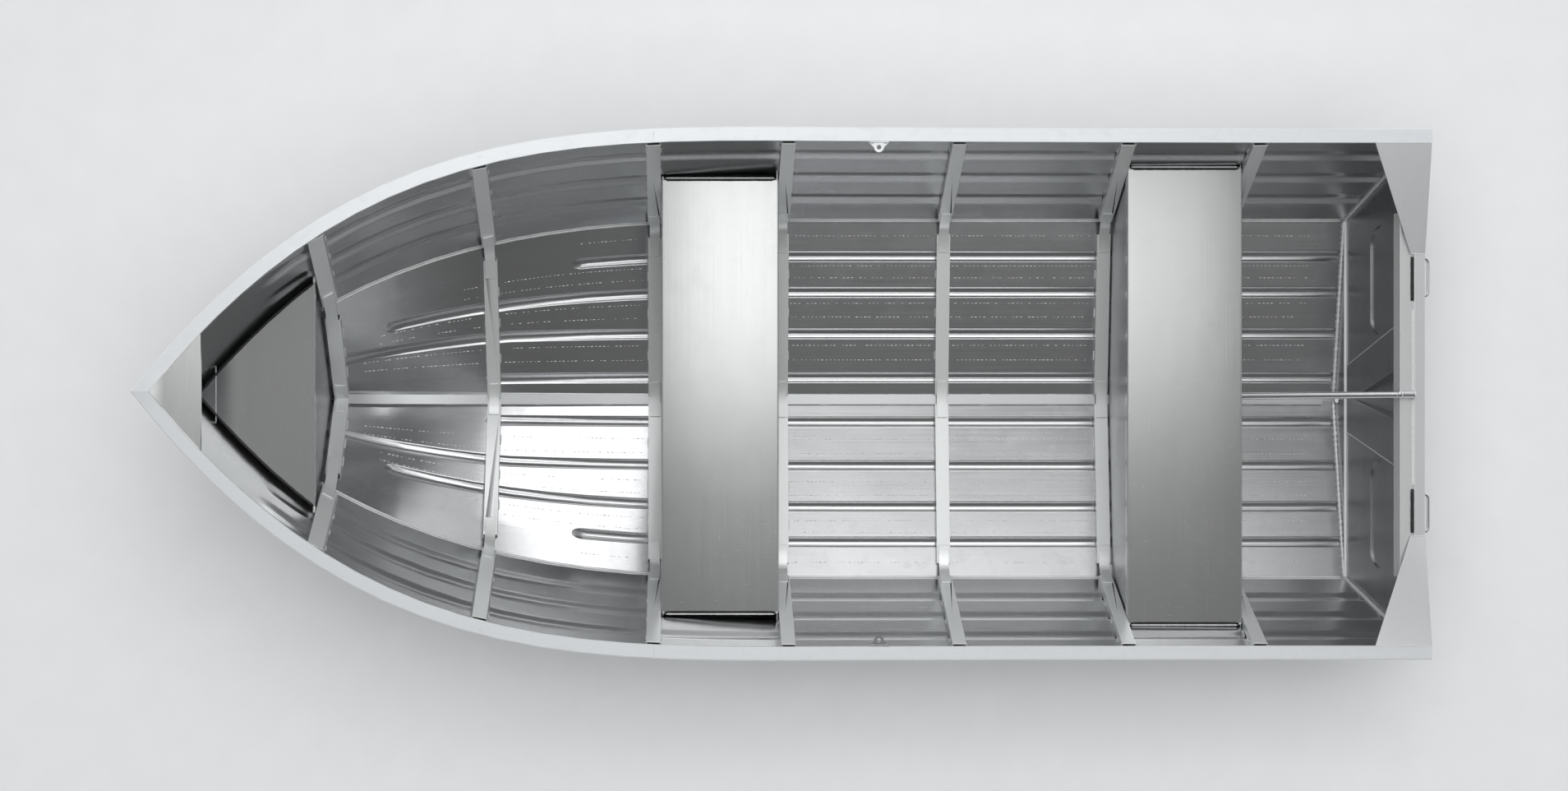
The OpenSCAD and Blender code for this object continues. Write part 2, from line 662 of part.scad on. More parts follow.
// Stay: a bent tube from the aft bench to the top of the beam
module rod(p, q, d) {
    run = q - p;
    translate(p) rotate([0, atan2(norm([run[0], run[1]]), run[2]), atan2(run[1], run[0])])
        cylinder(d = d, h = norm(run), $fn = round_fn);
}
function off_transom(x, v) =
    [x * cos(rake) - v * sin(rake) - origin_x, 0, x * sin(rake) + v * cos(rake) - waterline];
stay_weld = 3;
module transom_stay() {
    foot = [bench_ends[1][0] - fit_gap, bench_z - fold_h / 2];
    end = [foot[0] * cos(rake) + foot[1] * sin(rake), foot[1] * cos(rake) - foot[0] * sin(rake)];
    bend = [beam_w + 8, cutout_v + fit_gap + stay_d / 2];
    fall = atan2(bend[1] - end[1], end[0] - bend[0]);
    stop = end + [cos(fall), -sin(fall)] * stay_d;
    color(EXTRUSION) difference() {
        on_transom() {
            rod([cap_front + 2, 0, bend[1]], [bend[0], 0, bend[1]], stay_d);
            translate([bend[0], 0, bend[1]]) sphere(d = stay_d + stay_weld, $fn = round_fn);
            rod([bend[0], 0, bend[1]], [stop[0], 0, stop[1]], stay_d);
        }
        translate([foot[0] - origin_x, -stay_d, foot[1] - waterline - 2 * stay_d])
            cube([4 * stay_d, 2 * stay_d, 4 * stay_d]);
    }
}

// Corner gusset: a plate that slopes from the gunwale down to the motor board
module corner_gusset(side) {
    outer = [for (x = [-2 * transom_t, gusset_x]) gunwale_pt(x, hook_edge, hook_top)];
    inner = [for (x = [board_back, board_back + 46])
        off_transom(x, cutout_v + cap_t) + [0, cutout_half + fit_gap, 0]];
    drop = [0, 0, -sheet_t];
    color(SHEET) on_side(side) loft([
        [outer[0] + drop, outer[0], inner[0], inner[0] + drop],
        [outer[1] + drop, outer[1], inner[1], inner[1] + drop]]);
}

// Lifting handle: a bent rod on the back of the motor board
module handle(side) {
    bend_r = handle_d * 1.3;
    bar = handle_reach - handle_d / 2;
    half = handle_len / 2 - handle_d / 2;
    at = [board_back - fit_gap, cutout_half - handle_inset, cutout_v - board_h * 0.45];
    color(EXTRUSION) on_side(side) on_transom() translate(at) {
        for (s = [-1, 1]) {
            rod([0, s * half, 0], [-(bar - bend_r), s * half, 0], handle_d);
            translate([-(bar - bend_r), s * (half - bend_r), 0]) rotate([0, 0, s > 0 ? 90 : 180])
                rotate_extrude(angle = 90, $fn = round_fn)
                    translate([bend_r, 0]) circle(d = handle_d, $fn = round_fn);
        }
        rod([-bar, -(half - bend_r), 0], [-bar, half - bend_r, 0], handle_d);
    }
}

// Rowlock socket: an eye plate on the gunwale's inner lip
rowlock_base = 56;
rowlock_off = 16;
module rowlock_socket(side) {
    ring_r = rowlock_bore / 2 + 7.5;
    lip = sheer_y(rowlock_x) + rub_out - gunwale_w - fit_gap;
    color(EXTRUSION) on_side(side)
        translate([rowlock_x - origin_x, lip, sheer_z(rowlock_x) - waterline - lip_h]) {
            translate([-rowlock_base / 2, -3, 0]) cube([rowlock_base, 3, lip_h]);
            linear_extrude(rowlock_t) difference() {
                union() {
                    polygon([[-rowlock_base / 2, 0], [-rowlock_base / 2, -3], [-ring_r, -rowlock_off],
                             [ring_r, -rowlock_off], [rowlock_base / 2, -3], [rowlock_base / 2, 0]]);
                    translate([0, -rowlock_off]) circle(ring_r, $fn = round_fn);
                }
                translate([0, -rowlock_off]) circle(d = rowlock_bore, $fn = round_fn);
            }
        }
}

// Bow eye: a U bolt on the stem
eye_x = hull_len - forefoot_run * (1 - pow(eye_z / stem_h, 1 / stem_power));
module bow_eye() {
    m = keel_slope(eye_x);
    out = [m, -1] / norm([m, 1]);
    stand = keel_h + fit_gap;
    spread = eye_r + eye_rod / 2;
    color(EXTRUSION)
        translate([eye_x - origin_x + out[0] * stand, 0, keel_z(eye_x) - waterline + out[1] * stand])
            rotate([0, atan2(-out[1], out[0]), 0]) {
                translate([0, -keel_w / 2, -spread - eye_rod]) cube([3, keel_w, 2 * (spread + eye_rod)]);
                for (s = [-1, 1]) rod([2, 0, s * spread], [14, 0, s * spread], eye_rod);
                translate([14, 0, 0]) rotate([90, 0, 0]) rotate([0, 0, -90])
                    rotate_extrude(angle = 180, $fn = round_fn)
                        translate([spread, 0]) circle(d = eye_rod, $fn = round_fn);
            }
}

for (i = [0:6]) frame(frame_xs[i]);
for (side = SIDES) {
    bottom_plate(side);
    side_plate(side);
    chine_rail(side);
    gunwale_aft(side);
    gunwale_bow(side);
    corner_gusset(side);
    transom_knee(side);
    handle(side);
    rowlock_socket(side);
}
keel_bar();
keelson();
breasthook();
bow_eye();
bow_seat();
bow_seat_riser();
fore_bench();
fore_bench_risers();
aft_bench();
aft_bench_risers();
transom_plate();
transom_doubler();
transom_beam();
motor_board();
transom_stay();
drain_socket();
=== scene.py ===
import bisect
import math
import random

import bmesh
import bpy
import numpy as np
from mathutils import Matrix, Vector
from mathutils.bvhtree import BVHTree


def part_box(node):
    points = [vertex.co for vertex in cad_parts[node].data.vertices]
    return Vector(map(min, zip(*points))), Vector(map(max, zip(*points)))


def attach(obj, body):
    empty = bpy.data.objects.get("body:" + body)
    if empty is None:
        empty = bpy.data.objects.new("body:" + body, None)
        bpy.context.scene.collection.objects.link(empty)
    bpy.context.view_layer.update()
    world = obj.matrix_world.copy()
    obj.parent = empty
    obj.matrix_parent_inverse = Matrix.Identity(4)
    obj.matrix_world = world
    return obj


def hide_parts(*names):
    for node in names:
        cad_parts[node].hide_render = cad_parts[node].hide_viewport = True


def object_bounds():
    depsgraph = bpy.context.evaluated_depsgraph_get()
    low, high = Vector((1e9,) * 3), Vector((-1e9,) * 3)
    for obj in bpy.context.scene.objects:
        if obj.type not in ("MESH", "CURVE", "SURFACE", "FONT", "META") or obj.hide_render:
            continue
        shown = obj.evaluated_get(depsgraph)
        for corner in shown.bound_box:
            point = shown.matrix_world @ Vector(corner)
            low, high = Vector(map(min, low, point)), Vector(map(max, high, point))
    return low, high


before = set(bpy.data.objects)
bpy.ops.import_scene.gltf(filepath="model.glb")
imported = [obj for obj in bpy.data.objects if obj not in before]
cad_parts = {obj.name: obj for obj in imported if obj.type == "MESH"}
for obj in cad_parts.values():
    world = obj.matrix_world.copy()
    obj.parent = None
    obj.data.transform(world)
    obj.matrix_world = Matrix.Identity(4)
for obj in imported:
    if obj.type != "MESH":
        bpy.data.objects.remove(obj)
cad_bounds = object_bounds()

scene = bpy.context.scene
rng = random.Random(7)
SIGNS = {"port": 1, "starboard": -1}

# Hull lines
# The same lines as in part.scad, in metres: stations run forward from the transom foot
HULL_LEN, ORIGIN_X, WATERLINE = 3.506, 1.550, 0.075
RAKE = math.radians(14)
RAKE_RUN = 0.300
CHINE_NOSE = HULL_LEN - 0.130
PLATE_T = 0.003
PLAN_GAP, SEAM = 0.0035, 0.00015
STRAKE_W, STRAKE_D, SWAGE_W, SWAGE_D = 0.034, 0.007, 0.040, 0.005
SWAGE_SHARES, SWAGE_NOSE = (0.26, 0.50, 0.74), HULL_LEN - 0.316
STRAKE_NOSES = [HULL_LEN * (1 - share) for share in (0.2613, 0.1215, 0.1786, 0.3371)]
FRAME_XS = [HULL_LEN * (1 - share) for share in (0.14, 0.2695, 0.409, 0.5185, 0.6577, 0.7958, 0.9033)]
FRAME_W, FRAME_H, FRAME_DROP = 0.040, 0.025, 0.035
KNEE_LEN, KEEL_SLEEVE, SLEEVE_RISE, SLEEVE_HALF = 0.095, 0.058, 0.005, 0.015
KEELSON_HALF = 0.015
BENCHES = [(FRAME_XS[3] + 0.021, FRAME_XS[2] - 0.021), (FRAME_XS[6] + 0.021, FRAME_XS[5] - 0.021)]
BENCH_Z = 0.372
BOW_SEAT_X, BOW_SEAT_NOSE, BOW_SEAT_Z = HULL_LEN - 0.465, HULL_LEN - 0.125, 0.500
CUTOUT_HALF = 0.404
CUTOUT_V = 0.470 / math.cos(RAKE)
BEAM_H, CAP_T, CAP_FRONT, BOARD_BACK = 0.038, 0.008, 0.009, -0.025
HOOK_X, HOOK_EDGE, GUNWALE_TOP, GUSSET_X = HULL_LEN - 0.158, -0.0343, 0.0033, 0.104


def clamp01(v):
    return min(1.0, max(0.0, v))


def swell(d, run):
    return 1 - (1 - clamp01(d / run)) ** 3.4


def keel_curve(x):
    return 0.760 * (1 - clamp01((HULL_LEN - x) / 1.200)) ** 4.5


def chine_curve(x):
    if x >= CHINE_NOSE:
        return keel_curve(x)
    rise = keel_curve(CHINE_NOSE) - 0.066
    return 0.066 + rise * clamp01(1 - (CHINE_NOSE - x) / 2.200) ** 2.4


half_len = HULL_LEN / 2
STATIONS = sorted(
    [0, RAKE_RUN, 0.3 * HULL_LEN, 0.43 * HULL_LEN, CHINE_NOSE, HULL_LEN]
    + [half_len + (HULL_LEN - 0.015 - half_len) * (1 - (1 - i / 20) ** 1.6) for i in range(21)]
)


def table(curve):
    values = [curve(x) for x in STATIONS]
    return lambda x: float(np.interp(x, STATIONS, values))


sheer_y = table(lambda x: 0.750 * swell(HULL_LEN - x, 1.950))
sheer_z = table(lambda x: 0.532 + 0.228 * (x / HULL_LEN) ** 2.2)
chine_y = table(lambda x: 0.541 * swell(CHINE_NOSE - x, 1.930))
chine_z = table(chine_curve)
keel_z = table(keel_curve)


def unit(v):
    return v / np.linalg.norm(v)


def keel_pt(x):
    return np.array([0.0, keel_z(x)])


def chine_pt(x):
    return np.array([chine_y(x), chine_z(x)])


def sheer_pt(x):
    return np.array([sheer_y(x), sheer_z(x)])


def bottom_dir(x):
    return unit(chine_pt(x) - keel_pt(x))


def side_dir(x):
    return unit(sheer_pt(x) - chine_pt(x))


def inward(d):
    return np.array([-d[1], d[0]])


def miter(x, e):
    a, b = inward(bottom_dir(x)), inward(side_dir(x))
    return (a + b) * e / (1 + a.dot(b))


def place(x, p, side=1):
    lean = x - p[1] * math.tan(RAKE) * max(0.0, 1 - x / RAKE_RUN)
    return Vector((lean - ORIGIN_X, side * p[0], p[1] - WATERLINE))


def bottom_at(x, y, n, side=1):
    d = bottom_dir(x)
    return place(x, keel_pt(x) + d * (y / d[0]) + inward(d) * n, side)


def side_at(x, s, n, side=1):
    return place(x, chine_pt(x) + side_dir(x) * s + inward(side_dir(x)) * n, side)


def strake_y(i, x):
    evenly = PLAN_GAP + (chine_y(x) - PLAN_GAP) * (i + 1) / 5
    return min(evenly, (0.068 + i * 0.133) * (1 - 0.45 * (1 - chine_y(x) / 0.541)))


def on_transom(x, y, v):
    """A point x forward of the transom's plane, y across and v up its slope."""
    c, s = math.cos(RAKE), math.sin(RAKE)
    return Vector((x * c - v * s - ORIGIN_X, y, x * s + v * c - WATERLINE))


def gunwale_at(x, a, b, side=1):
    slope = (sheer_y(x + 0.001) - sheer_y(x - 0.001)) / 0.002
    n = unit(np.array([-slope, 1.0]))
    return place(x + n[0] * a, (sheer_y(x) + n[1] * a, sheer_z(x) + b), side)


# Materials
def add(tree, kind, settings=None, **sockets):
    n = tree.nodes.new(kind)
    for key, value in (settings or {}).items():
        setattr(n, key, value)
    for key, value in sockets.items():
        socket = n.inputs[int(key[1:])] if key[0] == "_" else n.inputs[key]
        if isinstance(value, bpy.types.NodeSocket):
            tree.links.new(value, socket)
        else:
            socket.default_value = value
    return n


def ramp(tree, value, stops):
    n = tree.nodes.new("ShaderNodeValToRGB")
    tree.links.new(value, n.inputs["Fac"])
    n.color_ramp.elements[0].position, n.color_ramp.elements[1].position = stops[0][0], stops[-1][0]
    for i, (position, level) in enumerate(stops):
        if 0 < i < len(stops) - 1:
            n.color_ramp.elements.new(position)
    for element, (position, level) in zip(n.color_ramp.elements, stops):
        element.color = (level, level, level, 1)
    return n.outputs["Color"]


def stretched(along, fine, coarse):
    return {"X": (coarse, fine, fine), "Y": (fine, coarse, fine), "Z": (fine, fine, coarse)}[along]


def metal(name, tint, rough, along="X", grain=0.08, cloud=0.10, wave=0.0003, scratch=0.25, fine=0.00004,
          metallic=1.0, soil=1.0):
    """Aluminium with rolled grain, cloudy handling marks, fine scratches and gentle waves."""
    mat = bpy.data.materials.new(name)
    mat.use_nodes = True
    tree = mat.node_tree
    shader = tree.nodes["Principled BSDF"]
    shader.inputs["Metallic"].default_value = metallic
    where = add(tree, "ShaderNodeTexCoord").outputs["Object"]

    def noise(scale, detail, stretch=None, distortion=0.0):
        source = where
        if stretch:
            source = add(tree, "ShaderNodeMapping", Vector=where, Scale=stretch).outputs["Vector"]
        return add(tree, "ShaderNodeTexNoise", Vector=source, Scale=scale, Detail=detail,
                   Distortion=distortion).outputs["Fac"]

    def math_node(operation, a, b=0.0, c=0.0):
        return add(tree, "ShaderNodeMath", {"operation": operation}, _0=a, _1=b, _2=c).outputs[0]

    rolled = noise(1.0, 3.0, stretched(along, 240.0, 1.6))
    bands = noise(1.0, 2.0, stretched(along, 22.0, 0.7))
    clouds = noise(2.6, 5.0, None, 0.5)
    marks = noise(17.0, 4.0, None, 1.2)
    smudges = ramp(tree, marks, [(0.50, 0.0), (0.78, 1.0)])
    hair = noise(1.0, 2.0, stretched("Y" if along == "X" else "X", 520.0, 14.0), 0.3)
    hairs = ramp(tree, hair, [(0.700, 0.0), (0.735, 1.0)])
    drag = noise(1.0, 2.0, stretched(along, 700.0, 9.0), 0.2)
    drags = ramp(tree, drag, [(0.690, 0.0), (0.730, 1.0)])
    scratches = math_node("MULTIPLY", math_node("MAXIMUM", hairs, drags), scratch)

    tone = math_node("MULTIPLY_ADD", rolled, grain * 1.6, 1 - grain * 0.8 - cloud * 0.5)
    tone = math_node("MULTIPLY_ADD", clouds, cloud, tone)
    tone = math_node("MULTIPLY_ADD", bands, grain * 0.9, math_node("SUBTRACT", tone, grain * 0.45))
    tone = math_node("MULTIPLY_ADD", smudges, -0.05 * soil, tone)
    tone = math_node("MULTIPLY_ADD", scratches, 0.12, tone)
    colour = add(tree, "ShaderNodeMix", {"data_type": "RGBA", "blend_type": "MULTIPLY"},
                 Factor=1.0, _6=(*tint, 1), _7=tone).outputs[2]
    tree.links.new(colour, shader.inputs["Base Color"])

    gloss = math_node("MULTIPLY_ADD", rolled, grain * 1.2, rough - grain * 0.6)
    gloss = math_node("MULTIPLY_ADD", clouds, cloud * 0.8, math_node("SUBTRACT", gloss, cloud * 0.4))
    gloss = math_node("MULTIPLY_ADD", smudges, 0.07 * soil, gloss)
    gloss = math_node("MULTIPLY_ADD", scratches, 0.12, gloss)
    tree.links.new(gloss, shader.inputs["Roughness"])

    swellings = noise(5.5, 1.0, stretched(along, 1.6, 0.7))
    surface = add(tree, "ShaderNodeBump", Height=swellings, Strength=1.0, Distance=wave)
    if fine:
        surface = add(tree, "ShaderNodeBump", Height=rolled, Strength=1.0, Distance=fine,
                      Normal=surface.outputs["Normal"])
    tree.links.new(surface.outputs["Normal"], shader.inputs["Normal"])
    return mat


def matte(name, tint, rough, grain_scale, depth):
    mat = bpy.data.materials.new(name)
    mat.use_nodes = True
    tree = mat.node_tree
    shader = tree.nodes["Principled BSDF"]
    shader.inputs["Roughness"].default_value = rough
    where = add(tree, "ShaderNodeTexCoord").outputs["Object"]
    grain = add(tree, "ShaderNodeTexNoise", Vector=where, Scale=grain_scale, Detail=4.0).outputs["Fac"]
    dust = add(tree, "ShaderNodeTexNoise", Vector=where, Scale=9.0, Detail=3.0).outputs["Fac"]
    tone = add(tree, "ShaderNodeMath", {"operation": "MULTIPLY_ADD"}, _0=dust, _1=0.06, _2=0.97)
    colour = add(tree, "ShaderNodeMix", {"data_type": "RGBA", "blend_type": "MULTIPLY"},
                 Factor=1.0, _6=(*tint, 1), _7=tone.outputs[0]).outputs[2]
    tree.links.new(colour, shader.inputs["Base Color"])
    bump = add(tree, "ShaderNodeBump", Height=grain, Strength=0.6, Distance=depth)
    tree.links.new(bump.outputs["Normal"], shader.inputs["Normal"])
    return mat


BOTTOM = metal("bottom_sheet", (0.72, 0.73, 0.74), 0.20, "X", 0.08, 0.10, 0.0005, soil=0.5)
SIDE = metal("side_sheet", (0.66, 0.67, 0.68), 0.26, "X", 0.05, 0.02, 0.0005, scratch=0.0, soil=0.0)
SEAT = metal("seat_sheet", (0.78, 0.79, 0.79), 0.24, "Y", 0.04, 0.05, 0.0004, soil=0.15)
PLATE = metal("corner_sheet", (0.80, 0.81, 0.82), 0.30, "Y", 0.04, 0.07, metallic=0.6, soil=0.4)
TRANSOM = metal("transom_sheet", (0.62, 0.63, 0.64), 0.30, "Y", 0.08, 0.12, 0.0008)
FRAMES = metal("frame_channel", (0.80, 0.82, 0.82), 0.30, "Y", 0.04, 0.05, metallic=0.6, soil=0.3)
RAILS = metal("keel_extrusion", (0.82, 0.84, 0.85), 0.28, "X", 0.0, 0.0, scratch=0.0, fine=0.0, metallic=0.9, soil=0.0)
GUNWALE = metal("gunwale_extrusion", (0.83, 0.86, 0.88), 0.36, "X", 0.03, 0.04, scratch=0.4, metallic=0.5)
FITTING = metal("polished_rod", (0.80, 0.82, 0.83), 0.22, "Y", 0.05, 0.06)
WELD = metal("weld_bead", (0.88, 0.89, 0.89), 0.40, "X", 0.10, 0.14, scratch=0.0, fine=0.0001, metallic=0.6)
MARK = metal("stitch_mark", (0.95, 0.95, 0.95), 0.45, "X", 0.04, 0.05, scratch=0.0, metallic=0.25)
# Black matte: rubber for the motor board pads, painted shade for the strips in the gaps at the bench ends and beside
# the bow seat
RUBBER_AND_SHADE = matte("black_rubber_and_painted_shade", (0.018, 0.018, 0.020), 0.42, 900.0, 0.0002)

LOOKS = {
    "bottom_plate": BOTTOM, "side_plate": SIDE, "chine_rail": RAILS, "gunwale": GUNWALE,
    "corner_gusset": PLATE, "transom_knee": TRANSOM, "handle": FITTING, "rowlock_socket": FITTING,
    "frame": FRAMES, "keel_bar": RAILS, "keelson": RAILS, "breasthook": SEAT, "bow_eye": FITTING,
    "bow_seat_riser": TRANSOM, "bow_seat": SEAT, "fore_bench_risers": TRANSOM, "fore_bench": SEAT,
    "aft_bench_risers": TRANSOM, "aft_bench": SEAT, "transom_plate": TRANSOM,
    "transom_doubler": TRANSOM, "transom_beam": FRAMES, "motor_board": PLATE,
    "transom_stay": FITTING, "drain_socket": FITTING,
}


def shade(obj, angle=22):
    """Smooth shading across the facets of curved plates, with the folds kept sharp."""
    mesh = obj.data
    if "custom_normal" in mesh.attributes:
        mesh.attributes.remove(mesh.attributes["custom_normal"])
    mesh.polygons.foreach_set("use_smooth", [True] * len(mesh.polygons))
    weld = obj.modifiers.new("weld", "WELD")
    weld.merge_threshold = 0.00002
    split = obj.modifiers.new("folds", "EDGE_SPLIT")
    split.split_angle = math.radians(angle)
    split.use_edge_sharp = False


def soften(obj, width):
    """Rounds the edges of folded and extruded pieces, so that they catch the light."""
    bevel = obj.modifiers.new("edges", "BEVEL")
    bevel.width = width
    bevel.segments = 2
    bevel.limit_method = "ANGLE"
    bevel.angle_limit = math.radians(50)
    bevel.harden_normals = True


EDGES = {"bow_seat": 0.0020, "breasthook": 0.0014, "corner_gusset": 0.0014, "transom_beam": 0.0020,
         "motor_board": 0.0020, "transom_doubler": 0.0010, "frame": 0.0012, "keelson": 0.0012}

for name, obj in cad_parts.items():
    kind = max((key for key in LOOKS if name.startswith(key)), key=len)
    obj.data.materials.clear()
    obj.data.materials.append(LOOKS[kind])
    shade(obj)
    if kind in EDGES:
        obj.modifiers.remove(obj.modifiers["folds"])
        soften(obj, EDGES[kind])


# Pieces
def piece(name, verts, faces, look):
    """Adds a mesh to the boat, with its faces turned outward."""
    mesh = bpy.data.meshes.new(name)
    mesh.from_pydata([tuple(v) for v in verts], [], faces)
    shape = bmesh.new()
    shape.from_mesh(mesh)
    bmesh.ops.recalc_face_normals(shape, faces=shape.faces)
    shape.to_mesh(mesh)
    shape.free()
    obj = bpy.data.objects.new(name, mesh)
    scene.collection.objects.link(obj)
    mesh.materials.append(look)
    mesh.polygons.foreach_set("use_smooth", [True] * len(mesh.polygons))
    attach(obj, "root")
    return obj


def span(a, b, count):
    return [a + (b - a) * i / (count - 1) for i in range(count)]


def resample(points, step):
    lengths = [0.0]
    for a, b in zip(points, points[1:]):
        lengths.append(lengths[-1] + (b - a).length)
    count = max(2, round(lengths[-1] / step) + 1)
    result = []
    for i in range(count):
        s = lengths[-1] * i / (count - 1)
        k = min(max(bisect.bisect_right(lengths, s) - 1, 0), len(points) - 2)
        gap = lengths[k + 1] - lengths[k]
        result.append(points[k].lerp(points[k + 1], (s - lengths[k]) / gap if gap else 0.0))
    return result


# Pressed plates: the solids' own sections, with every pressing rounded as the real sheet is
# Half sections of a pressing, from its edge to its middle: (share of half width, of depth)
STRAKE_SECTION = [(1.07, 0), (1, 0), (0.93, 0.036), (0.87, 0.12), (0.765, 0.345), (0.68, 0.515),
                  (0.62, 0.60), (0.55, 0.665), (0.35, 0.815), (0.15, 0.955), (0, 1)]
SWAGE_SECTION = [(1.6, 0), (1.5, 0), (1.35, 0.03), (1.2, 0.12), (0.95, 0.34), (0.45, 0.80),
                 (0.25, 0.94), (0.1, 0.99), (0, 1)]
STRAKE_FADE, SWAGE_FADE = 0.034, 0.060


def pressing(at, half, depth, section):
    left = [(at - share * half, level * depth) for share, level in section]
    return left + [(2 * at - u, d) for u, d in reversed(left[:-1])]


def rounded_nose(x, nose, half, fade):
    """Shares of half width and depth close to a pressing's forward end."""
    t = clamp01((nose - x) / (2 * half))
    f = clamp01((nose - x) / fade)
    return max(0.3, math.sqrt(1 - (1 - t) ** 2)), f * f * (3 - 2 * f)


def near_nose(nose, fade):
    return [nose - fade * share for share in (0, 0.04, 0.12, 0.24, 0.38, 0.55, 0.75, 1)]


def between(x0, x1):
    return [x0, x1] + [x for x in STATIONS if x0 + 0.005 < x < x1 - 0.005]


def strake_rows(i, x):
    y = strake_y(i, x)
    half = min(STRAKE_W, (chine_y(x) - PLAN_GAP) / 7) / 2
    wide, deep = rounded_nose(x, STRAKE_NOSES[i], half, STRAKE_FADE)
    return pressing(y, half * wide, STRAKE_D * deep, STRAKE_SECTION)


def bottom_ring(x):
    rows = [(PLAN_GAP, 0)] + [row for i in range(4) for row in strake_rows(i, x)]
    edge = chine_pt(x) - bottom_dir(x) * SEAM
    return ([bottom_at(x, y, -d) for y, d in rows] + [place(x, edge), place(x, edge + miter(x, PLATE_T))]
            + [bottom_at(x, y, PLATE_T - d) for y, d in reversed(rows)])


def side_ring(x):
    d = side_dir(x)
    start = [chine_pt(x) + d * SEAM, chine_pt(x) + miter(x, PLATE_T) + d * SEAM]
    if x >= BOTTOM_NOSE:
        s = max(0.0, (PLAN_GAP - chine_pt(x)[0]) / d[0])
        start = [chine_pt(x) + d * s, chine_pt(x) + d * s + inward(d) * PLATE_T]
    length = np.linalg.norm(sheer_pt(x) - chine_pt(x))
    half = min(SWAGE_W, length * 0.12) / 2
    wide, deep = rounded_nose(x, SWAGE_NOSE, half, SWAGE_FADE)
    rows = [row for share in SWAGE_SHARES
            for row in pressing(length * share, half * wide, SWAGE_D * deep, SWAGE_SECTION)]
    return ([place(x, start[0])] + [side_at(x, s, -e) for s, e in rows]
            + [place(x, sheer_pt(x)), place(x, sheer_pt(x) + inward(d) * PLATE_T)]
            + [side_at(x, s, PLATE_T - e) for s, e in reversed(rows)] + [place(x, start[1])])


def plate(name, rings, sign, look):
    """A sheet between rings that run out along one face and back along the other."""
    n = len(rings[0])
    verts = [Vector((p.x, sign * p.y, p.z)) for ring in rings for p in ring]
    faces = [(i * n + j, i * n + (j + 1) % n, (i + 1) * n + (j + 1) % n, (i + 1) * n + j)
             for i in range(len(rings) - 1) for j in range(n)]
    for first in (0, (len(rings) - 1) * n):
        faces += [(first + j, first + j + 1, first + n - 2 - j, first + n - 1 - j) for j in range(n // 2 - 1)]
    obj = piece("pressed_" + name, verts, faces, look)
    split = obj.modifiers.new("folds", "EDGE_SPLIT")
    split.split_angle = math.radians(30)
    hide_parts(name)


BOTTOM_NOSE = CHINE_NOSE - 0.015
bottom_xs = sorted(between(0, BOTTOM_NOSE) + [x for nose in STRAKE_NOSES for x in near_nose(nose, STRAKE_FADE)])
side_xs = sorted(between(0, HULL_LEN - 0.015) + near_nose(SWAGE_NOSE, SWAGE_FADE)
                 + [BOTTOM_NOSE - 0.0001, BOTTOM_NOSE + 0.001])
for side, sign in SIGNS.items():
    plate(f"bottom_plate_{side}", [bottom_ring(x) for x in bottom_xs], sign, BOTTOM)
    plate(f"side_plate_{side}", [side_ring(x) for x in side_xs], sign, SIDE)


# Weld beads
UP = Vector((0, 0, 1))


def bead(verts, faces, points, radius, step, ripple=0.22, sides=6, closed=False, facing=UP, end=0.45):
    """Adds a weld bead along points: a closed tube whose width ripples like stacked dimes."""
    line = resample(points, step)
    if closed:
        line = line[:-1]
    first = len(verts)
    count = len(line)
    for i, p in enumerate(line):
        ahead = line[(i + 1) % count] if closed or i < count - 1 else p
        behind = line[i - 1] if closed or i > 0 else p
        run = (ahead - behind).normalized()
        across = run.cross(facing).normalized()
        up = across.cross(run)
        taper = 1.0 if closed or 0 < i < count - 1 else end
        r = radius * taper * (1 - ripple * (i % 2)) * rng.uniform(0.88, 1.12)
        for k in range(sides):
            t = 2 * math.pi * k / sides
            verts.append(p + across * (r * math.cos(t)) + up * (r * math.sin(t)))
    for i in range(count if closed else count - 1):
        a, b = first + i * sides, first + ((i + 1) % count) * sides
        for k in range(sides):
            m = (k + 1) % sides
            faces.append((a + k, a + m, b + m, b + k))
    if not closed:
        faces.append(tuple(first + k for k in reversed(range(sides))))
        faces.append(tuple(first + (count - 1) * sides + k for k in range(sides)))


def beads(name, paths, radius, step=0.0024, look=None, slot="extrusion", **settings):
    verts, faces = [], []
    for path in paths:
        bead(verts, faces, path, radius, step, **settings)
    return piece(name, verts, faces, look or WELD)


def loop(centre, a, b, count=24):
    """A closed round path about centre, through centre + a and centre + b."""
    return [centre + a * math.cos(2 * math.pi * i / count) + b * math.sin(2 * math.pi * i / count)
            for i in range(count + 1)]


# Seams of the plating: along both chines and where the plates meet the transom
FOOT_X = 0.004
for side, sign in SIGNS.items():
    chine_xs = span(0.01, CHINE_NOSE - 0.06, 90)
    beads(f"chine_seam_{side}", [[place(x, chine_pt(x) + miter(x, PLATE_T + 0.0006), sign) for x in chine_xs]],
          0.0034, 0.012, ripple=0.05)
    beads(f"chine_trim_{side}", [[side_at(x, 0.012, PLATE_T, sign) for x in chine_xs]],
          0.0016, 0.012, ripple=0.05)
    foot = [bottom_at(FOOT_X, y, PLATE_T + 0.001, sign) for y in span(0.004, 0.541, 60)]
    rise = [side_at(FOOT_X, s, PLATE_T + 0.001, sign) for s in span(0.0, 0.44, 30)]
    beads(f"transom_foot_weld_{side}", [foot, rise], 0.0082, 0.0085, ripple=0.42)

